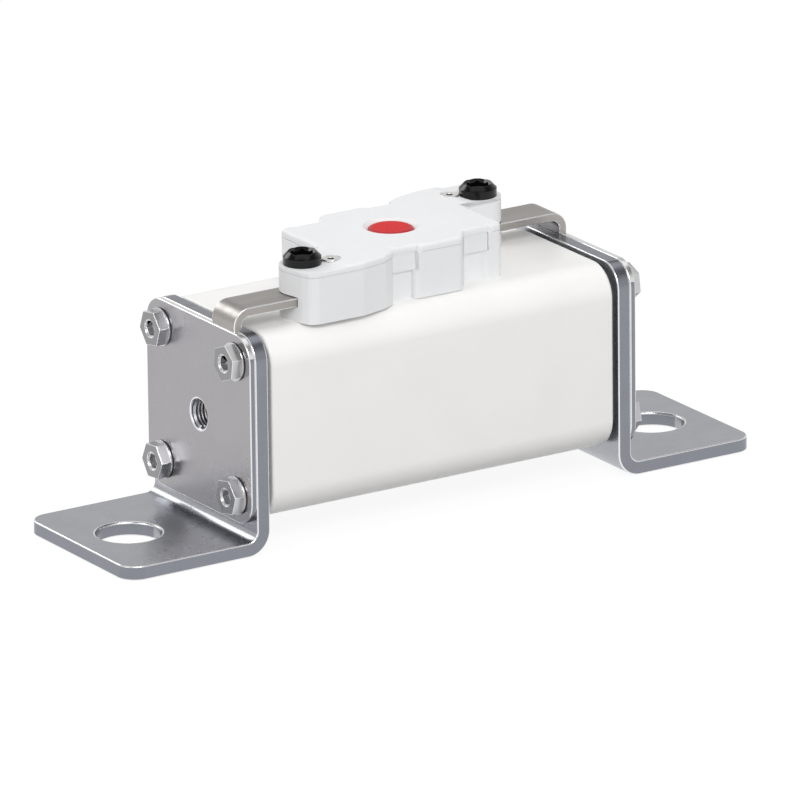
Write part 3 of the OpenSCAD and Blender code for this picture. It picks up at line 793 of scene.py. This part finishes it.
class FUSE_OT_screws(FuseOperator):
    """End screws: hexagon heads on a round flange, with a hexagon socket in a round mouth"""
    bl_idname = "fuse.screws"
    bl_label = "End screws"

    def head(self, height):
        """One head along +X, with its seat at X = 0, and a stub of its shank."""
        flange = prism(96, HEAD_FLANGE, FLANGE_HEIGHT, (FLANGE_HEIGHT / 2, 0, 0), "X")
        # Flange in the lighter copy of the screw metal, painted light; its rounded edges take the painted highlight
        dress(flange, "screw_side", "bright_edge")
        round_edges(flange, sizes().screw_edge / 2, 30, 2, clamp=True)
        depth = height - FLANGE_HEIGHT
        middle = FLANGE_HEIGHT + (depth - HEAD_SINK) / 2
        head = prism(6, corner_radius(HEAD_FLATS), depth + HEAD_SINK, (middle, 0, 0), "X")
        settle(head)
        # End faces in a darker copy of the screw metal (painted shade), flats in a lighter copy (painted light),
        # rounded edges in the painted highlight
        dress(head, "screw_face", "screw_side", "screw_recess", "bright_edge")
        cut(head, prism(48, MOUTH_RADIUS, 2 * MOUTH_DEPTH, (height, 0, 0), "X"))
        cut(head, prism(6, corner_radius(SOCKET_FLATS), 2 * SOCKET_DEPTH, (height, 0, 0), "X"))
        # The flats take the lighter copy, painted light; the socket and mouth take the plain screw metal
        finish_faces(head, 1, lambda face: abs(face.normal.x) < 0.5 and (
            math.hypot(face.center.y, face.center.z) > MOUTH_RADIUS + MM))
        finish_faces(head, 2, lambda face: face.center.x < height - LEVEL and (
            math.hypot(face.center.y, face.center.z) < MOUTH_RADIUS))
        round_edges(head, sizes().screw_edge, 25, 2, clamp=True)
        shank = prism(48, SHANK_RADIUS, SHANK_LENGTH, (HEAD_SINK - SHANK_LENGTH / 2, 0, 0), "X")
        # The shank takes the lighter copy of the screw metal, painted light
        dress(shank, "screw_side")
        only(head)
        for part in (flange, shank):
            part.select_set(True)
        bpy.ops.object.join()
        settle(head)
        return head

    def execute(self, context):
        for side, sign in ENDS:
            low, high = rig.box(side + "_end_screws")
            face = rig.box(side + "_face_plate")
            seat, end = (face[0].x, low.x) if sign < 0 else (face[1].x, high.x)
            seat += sign * HEAD_RELIEF
            model = self.head(abs(end - seat))
            middle = (low.z + high.z) / 2
            reach = (high.z - low.z) / 2 - HEAD_FLANGE
            heads = []
            for index, turn in enumerate(HEAD_TURNS):
                only(model)
                bpy.ops.object.duplicate(linked=False)
                copy = bpy.context.object
                copy.rotation_euler = (math.radians(turn), 0, math.pi if sign < 0 else 0)
                across, above = (-1, 1)[index % 2], (-1, 1)[index // 2]
                copy.location = (seat, across * reach, middle + above * reach)
                heads.append(copy)
            only(model)
            bpy.ops.object.delete()
            only(heads[0])
            for copy in heads[1:]:
                copy.select_set(True)
            bpy.ops.object.join()
            piece = named(side + "_hex_screws")
            settle(piece)
            smooth(piece, 30)
            finish_piece(piece, FIXED, "zinc_steel", side + "_end_screws")
        return {"FINISHED"}


class FUSE_OT_threads(FuseOperator):
    """Turns of the connection thread inside each end's centre hole"""
    bl_idname = "fuse.threads"
    bl_label = "Connection threads"

    def execute(self, context):
        pitch = sizes().thread_pitch
        height = THREAD_ROOT - THREAD_CREST + THREAD_SEAT
        for side, sign in ENDS:
            outer, inner = thread_span(side)
            turns = (abs(outer - inner) - THREAD_MOUTH) / pitch - 1
            bpy.ops.object.select_all(action="DESELECT")
            bpy.ops.mesh.primitive_circle_add(vertices=3, radius=1, location=(0, 0, 0))
            ridge = named(side + "_thread")
            bpy.ops.object.mode_set(mode="EDIT")
            bpy.ops.mesh.select_all(action="SELECT")
            bpy.ops.transform.rotate(value=math.radians(90), orient_axis="X", center_override=(0, 0, 0))
            bpy.ops.transform.rotate(value=math.radians(90), orient_axis="Y", center_override=(0, 0, 0))
            bpy.ops.transform.resize(
                value=(height / 1.5, 1, THREAD_WIDTH * pitch / math.sqrt(3)), center_override=(0, 0, 0))
            bpy.ops.object.mode_set(mode="OBJECT")
            tip = min(ridge.data.vertices, key=lambda v: abs(v.co.z))
            facing = 1 if tip.co.x < 0 else -1
            bpy.ops.object.mode_set(mode="EDIT")
            bpy.ops.mesh.select_all(action="SELECT")
            bpy.ops.transform.resize(value=(facing, 1, 1), center_override=(0, 0, 0))
            bpy.ops.transform.translate(value=(THREAD_CREST + height * 2 / 3, 0, 0))
            bpy.ops.object.mode_set(mode="OBJECT")
            screw = ridge.modifiers.new("Turns", "SCREW")
            screw.axis = "Z"
            screw.angle = 2 * math.pi * turns
            screw.screw_offset = pitch * turns
            screw.steps = screw.render_steps = int(THREAD_STEPS * turns)
            screw.use_merge_vertices = False
            apply_modifiers(ridge)
            only(ridge)
            bpy.ops.object.mode_set(mode="EDIT")
            bpy.ops.mesh.select_all(action="DESELECT")
            bpy.ops.mesh.select_non_manifold()
            bpy.ops.mesh.fill_holes(sides=0)
            bpy.ops.mesh.select_all(action="SELECT")
            bpy.ops.mesh.normals_make_consistent(inside=False)
            bpy.ops.object.mode_set(mode="OBJECT")
            start = outer - sign * (THREAD_MOUTH + 0.5 * pitch)
            ridge.rotation_euler = (0, math.radians(-90 * sign), 0)
            ridge.location = (start, 0, thread_height())
            settle(ridge)
            dress(ridge, "terminal_metal")
            smooth(ridge, 30)
            finish_piece(ridge, FIXED, "plated_copper")
        return {"FINISHED"}


class FUSE_OT_straps(FuseOperator):
    """Bent straps with rounded edges"""
    bl_idname = "fuse.straps"
    bl_label = "Straps"

    def execute(self, context):
        for side, _ in ENDS:
            # The straps' rounded edges take the painted highlight of the pale edge colour
            piece = copy_of(side + "_strap", side + "_bent_strap", "strap_metal", "bright_edge")
            round_edges(piece, sizes().strap_edge, 40)
            smooth(piece)
            finish_piece(piece, FIXED, "strap_metal", side + "_strap")
        return {"FINISHED"}


class FUSE_OT_housing(FuseOperator):
    """Moulded housing: base and cover with softened edges"""
    bl_idname = "fuse.housing"
    bl_label = "Indicator housing"

    def execute(self, context):
        base = copy_of("indicator_base", "housing_base", "housing_plastic")
        round_edges(base, sizes().moulding_edge, 30, 2, clamp=True)
        smooth(base, 40)
        finish_piece(base, FIXED, "white_moulding", "indicator_base")
        cover = copy_of("indicator_cover", "housing_cover", "housing_plastic")
        round_edges(cover, sizes().cover_edge, 40, 2, clamp=True)
        smooth(cover, 40)
        finish_piece(cover, FIXED, "white_moulding", "indicator_cover")
        return {"FINISHED"}


class FUSE_OT_clamps(FuseOperator):
    """Black clamp screws and hollow rivets"""
    bl_idname = "fuse.clamps"
    bl_label = "Clamp screws and rivets"

    def execute(self, context):
        for side, _ in ENDS:
            screw = copy_of(side + "_clamp_screw", side + "_socket_screw", "clamp_black")
            low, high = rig.box(side + "_clamp_screw")
            place = ((low.x + high.x) / 2, (low.y + high.y) / 2, high.z - CHAMFER_DEPTH / 2)
            cut(screw, prism(6, CHAMFER_INNER, CHAMFER_DEPTH, place, top=CHAMFER_OUTER))
            round_edges(screw, sizes().clamp_edge, 25, 2, clamp=True)
            smooth(screw)
            finish_piece(screw, FIXED, "black_screw", side + "_clamp_screw")
            rivet = copy_of(side + "_rivet", side + "_hollow_rivet", "rivet_tin")
            round_edges(rivet, sizes().rivet_edge, 40, clamp=True)
            smooth(rivet)
            finish_piece(rivet, FIXED, "zinc_steel", side + "_rivet")
        return {"FINISHED"}


class FUSE_OT_striker(FuseOperator):
    """Red striker with a rounded rim"""
    bl_idname = "fuse.striker"
    bl_label = "Striker"

    def execute(self, context):
        piece = copy_of("striker", "striker_button", "striker_red", "striker_rim")
        # Painted shade: the side faces take the darker rim red
        finish_faces(piece, 1, lambda face: face.normal.z < 0.95)
        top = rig.box("striker")[1].z - RIM_LEVEL
        only(piece)
        bpy.ops.object.mode_set(mode="EDIT")
        bpy.ops.mesh.select_all(action="DESELECT")
        bpy.ops.mesh.select_mode(type="EDGE")
        bpy.ops.object.mode_set(mode="OBJECT")
        corners = piece.data.vertices
        for edge in piece.data.edges:
            edge.select = all(corners[index].co.z > top for index in edge.vertices)
        bpy.ops.object.mode_set(mode="EDIT")
        # The rounded rim takes the darker red too, painted shade
        bpy.ops.mesh.bevel(offset=sizes().striker_edge, segments=3, affect="EDGES", material=1)
        bpy.ops.object.mode_set(mode="OBJECT")
        smooth(piece)
        finish_piece(piece, MOVING, "red_plastic", "striker")
        return {"FINISHED"}


class FUSE_OT_stage(FuseOperator):
    """Floor, lights and camera"""
    bl_idname = "fuse.stage"
    bl_label = "Stage"

    def area_light(self, name, place, target, width, height, power):
        bpy.ops.object.light_add(type="AREA", location=place)
        light = bpy.context.object
        light.name = name
        light.data.shape = "RECTANGLE"
        light.data.size = width
        light.data.size_y = height
        light.data.energy = power
        light.rotation_euler = (Vector(target) - Vector(place)).to_track_quat("-Z", "Y").to_euler()

    def floor(self):
        bpy.ops.object.select_all(action="DESELECT")
        bpy.ops.mesh.primitive_plane_add(size=FLOOR_SIZE, location=(0, 0, -FLOOR_DROP))
        floor = named("floor")
        settle(floor)
        look = Finish("floor_white", FLOOR_GREY, 0.9, Specular_IOR_Level=0.0)
        tree = look.tree
        glow = tree.nodes.new("ShaderNodeEmission")
        glow.inputs["Strength"].default_value = FLOOR_GLOW
        white = tree.nodes.new("ShaderNodeMixShader")
        white.inputs["Fac"].default_value = FLOOR_SHARE
        tree.links.new(look.shader.outputs["BSDF"], white.inputs[1])
        tree.links.new(glow.outputs["Emission"], white.inputs[2])
        rays = tree.nodes.new("ShaderNodeLightPath")
        seen = rays.outputs["Is Camera Ray"]
        for kind in ("Is Glossy Ray", "Is Transmission Ray"):
            either = tree.nodes.new("ShaderNodeMath")
            either.operation = "MAXIMUM"
            tree.links.new(seen, either.inputs[0])
            tree.links.new(rays.outputs[kind], either.inputs[1])
            seen = either.outputs["Value"]
        mix = tree.nodes.new("ShaderNodeMixShader")
        tree.links.new(seen, mix.inputs["Fac"])
        tree.links.new(look.shader.outputs["BSDF"], mix.inputs[1])
        tree.links.new(white.outputs["Shader"], mix.inputs[2])
        tree.links.new(mix.outputs["Shader"], look.output.inputs["Surface"])
        floor.data.materials.append(look.material)
        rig.stage(floor)

    def world(self):
        """A studio that is white all round at the height of the table and dim overhead."""
        world = bpy.data.worlds.new("studio")
        bpy.context.scene.world = world
        world.use_nodes = True
        tree = world.node_tree
        tree.nodes.clear()
        output = tree.nodes.new("ShaderNodeOutputWorld")
        light = tree.nodes.new("ShaderNodeBackground")
        place = tree.nodes.new("ShaderNodeTexCoord")
        split = tree.nodes.new("ShaderNodeSeparateXYZ")
        fade = tree.nodes.new("ShaderNodeMapRange")
        fade.inputs["From Min"].default_value = WORLD_FADE[0]
        fade.inputs["From Max"].default_value = WORLD_FADE[1]
        fade.inputs["To Min"].default_value = 1.0
        fade.inputs["To Max"].default_value = WORLD_DIM
        tree.links.new(place.outputs["Generated"], split.inputs["Vector"])
        tree.links.new(split.outputs["Z"], fade.inputs["Value"])
        tree.links.new(fade.outputs["Result"], light.inputs["Strength"])
        tree.links.new(light.outputs["Background"], output.inputs["Surface"])

    def camera(self, stage):
        a, e = stage.azimuth, stage.elevation
        forward = Vector((math.sin(a) * math.cos(e), math.cos(a) * math.cos(e), -math.sin(e)))
        right = Vector((math.cos(a), -math.sin(a), 0))
        up = right.cross(forward)
        across = right * math.cos(CAMERA_ROLL) + up * math.sin(CAMERA_ROLL)
        above = up * math.cos(CAMERA_ROLL) - right * math.sin(CAMERA_ROLL)
        place = Vector(CAMERA_AIM) - forward * stage.distance
        turn = Matrix((across, above, -forward)).transposed().to_4x4()
        bpy.ops.object.camera_add()
        camera = bpy.context.object
        camera.name = "camera"
        camera.matrix_world = Matrix.Translation(place) @ turn
        camera.data.sensor_width = SENSOR_WIDTH
        camera.data.lens = stage.lens
        camera.data.clip_end = CAMERA_REACH
        camera.data.shift_x, camera.data.shift_y = CAMERA_SHIFT
        bpy.context.scene.camera = camera

    def execute(self, context):
        self.floor()
        self.world()
        for name, lamp in LAMPS.items():
            self.area_light(name, *lamp)
        self.camera(context.scene.fuse_stage)
        context.scene.view_settings.view_transform = "Standard"
        return {"FINISHED"}


PIECES = (
    FUSE_OT_body, FUSE_OT_inside, FUSE_OT_terminals, FUSE_OT_faces, FUSE_OT_screws, FUSE_OT_threads,
    FUSE_OT_straps, FUSE_OT_housing, FUSE_OT_clamps, FUSE_OT_striker, FUSE_OT_stage,
)


class FUSE_PT_panel(bpy.types.Panel):
    """Lists the pieces of the fuse, with their sizes and colours"""
    bl_idname = "FUSE_PT_panel"
    bl_label = "Cartridge fuse"
    bl_space_type = "VIEW_3D"
    bl_region_type = "UI"
    bl_category = "Fuse"

    def draw(self, context):
        for group in (context.scene.fuse_sizes, context.scene.fuse_colours, context.scene.fuse_stage):
            box = self.layout.box()
            for name in group.__annotations__:
                box.prop(group, name)
        for piece in PIECES:
            self.layout.operator(piece.bl_idname)


CLASSES = (FuseSizes, FuseColours, FuseStage, *PIECES, FUSE_PT_panel)


def register():
    for item in CLASSES:
        bpy.utils.register_class(item)
    bpy.types.Scene.fuse_sizes = bpy.props.PointerProperty(type=FuseSizes)
    bpy.types.Scene.fuse_colours = bpy.props.PointerProperty(type=FuseColours)
    bpy.types.Scene.fuse_stage = bpy.props.PointerProperty(type=FuseStage)


def unregister():
    del bpy.types.Scene.fuse_stage
    del bpy.types.Scene.fuse_colours
    del bpy.types.Scene.fuse_sizes
    for item in reversed(CLASSES):
        bpy.utils.unregister_class(item)


def main():
    register()
    for piece in PIECES:
        group, name = piece.bl_idname.split(".")
        getattr(getattr(bpy.ops, group), name)()
    if bpy.context.object and bpy.context.object.mode != "OBJECT":
        bpy.ops.object.mode_set(mode="OBJECT")
    bpy.context.view_layer.update()
    boxes = {"cad": [list(corner) for corner in CAD_BOX], "visual": [list(corner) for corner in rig.bounds()]}
    with open("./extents.json", "w") as out:
        json.dump(boxes, out)


if __name__ == "__main__":
    main()
